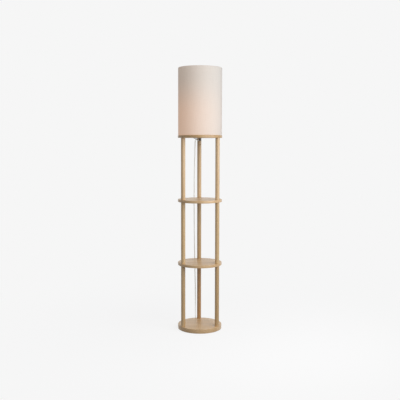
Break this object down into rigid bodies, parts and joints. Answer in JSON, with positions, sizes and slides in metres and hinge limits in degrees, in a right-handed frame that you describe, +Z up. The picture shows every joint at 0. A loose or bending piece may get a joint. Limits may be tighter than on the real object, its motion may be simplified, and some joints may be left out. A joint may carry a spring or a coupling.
{
  "type": "shelf floor lamp",
  "caption": "Slim floor lamp: a drum shade on a round wooden stand with open round shelves between three posts, a pull-chain lamp holder and a mains cord.",
  "frame": {"origin": "on the floor under the middle of the base", "axes": "+Z up; -Y to the open front, between the two side posts; +Y to the back post; +X to the right seen from the front"},
  "size_m": [0.26, 0.3278, 1.5417],
  "materials": {
    "lacquered_wood": "satin lacquer over a fine straight grain",
    "zinc_steel": "zinc-plated steel",
    "dark_steel": "dark nickel-plated steel",
    "felt": "pressed felt",
    "shade_linen": "off-white plain-woven cloth",
    "shade_liner": "white film backing",
    "white_wire": "white powder coat",
    "holder_metal": "plated brass",
    "holder_plastic": "black phenolic",
    "porcelain": "glazed porcelain",
    "card_sleeve": "insulating card",
    "brass": "plain brass",
    "bulb_contact": "tinned contact",
    "bulb_cap": "nickel-plated screw cap",
    "bulb_plastic": "white moulded plastic",
    "opal_globe": "opal diffuser",
    "led_board": "white circuit board",
    "bead_chain": "nickel-plated bead chain",
    "pull_end": "plated drop",
    "dark_plastic": "moulded nylon",
    "clear_plastic": "translucent nylon",
    "clear_cord": "clear silver vinyl",
    "tie": "white nylon tie",
    "clear_plug": "clear moulded vinyl",
    "blade_brass": "plain brass blades"
  },
  "bodies": {
    "stand": {"base_bolts": "zinc_steel", "base_disc": "lacquered_wood", "base_washers": "zinc_steel", "bulb_body": "bulb_plastic", "bulb_cap": "bulb_cap", "bulb_globe": "opal_globe", "bulb_tip": "bulb_contact", "centre_contact": "brass", "chain_eyelet": "dark_steel", "chain_guide": "brass", "clip_screw": "dark_steel", "coil_tie": "tie", "cord_clip": "clear_plastic", "cord_coil": "clear_cord", "cord_hang": "clear_cord", "cord_outlet": "dark_plastic", "cord_tail": "clear_cord", "foot_pads": "felt", "holder_cap": "holder_metal", "holder_insulator": "porcelain", "holder_ring_nut": "holder_plastic", "holder_shell": "holder_metal", "holder_sleeve": "card_sleeve", "led_plate": "led_board", "lower_shelf": "lacquered_wood", "nipple": "zinc_steel", "nipple_nut": "dark_steel", "nipple_washer": "dark_steel", "plug_blades": "blade_brass", "plug_body": "clear_plug", "post_inserts": "zinc_steel", "post_lower_back": "lacquered_wood", "post_lower_left": "lacquered_wood", "post_lower_right": "lacquered_wood", "post_middle_back": "lacquered_wood", "post_middle_left": "lacquered_wood", "post_middle_right": "lacquered_wood", "post_studs": "zinc_steel", "post_upper_back": "lacquered_wood", "post_upper_left": "lacquered_wood", "post_upper_right": "lacquered_wood", "screw_shell": "brass", "shade_fabric": "shade_linen", "shade_liner": "shade_liner", "shade_spider": "white_wire", "shade_top_ring": "white_wire", "switch_block": "holder_plastic", "top_bolts": "zinc_steel", "top_disc": "lacquered_wood", "top_washers": "zinc_steel", "upper_shelf": "lacquered_wood"},
    "pull_slide": {"chain_upper": "bead_chain"},
    "chain_bead": {"chain_swivel": "bead_chain"},
    "chain_end": {"chain_tail": "bead_chain", "pull_end": "pull_end"}
  },
  "joints": [
    {"name": "chain_pull", "type": "slide", "parent": "stand", "child": "pull_slide", "axis": [0, 0, -1], "range_m": [0, 0.008], "stiffness_N_per_m": 600, "springref_m": -0.002},
    {"name": "chain_swing_front", "type": "hinge", "parent": "pull_slide", "child": "chain_bead", "pos_m": [0, -0.024, 1.1325], "axis": [1, 0, 0], "range_deg": [-35, 20]},
    {"name": "chain_swing_side", "type": "hinge", "parent": "chain_bead", "child": "chain_end", "pos_m": [0, -0.024, 1.1325], "axis": [0, 1, 0], "range_deg": [-35, 35]}
  ]
}
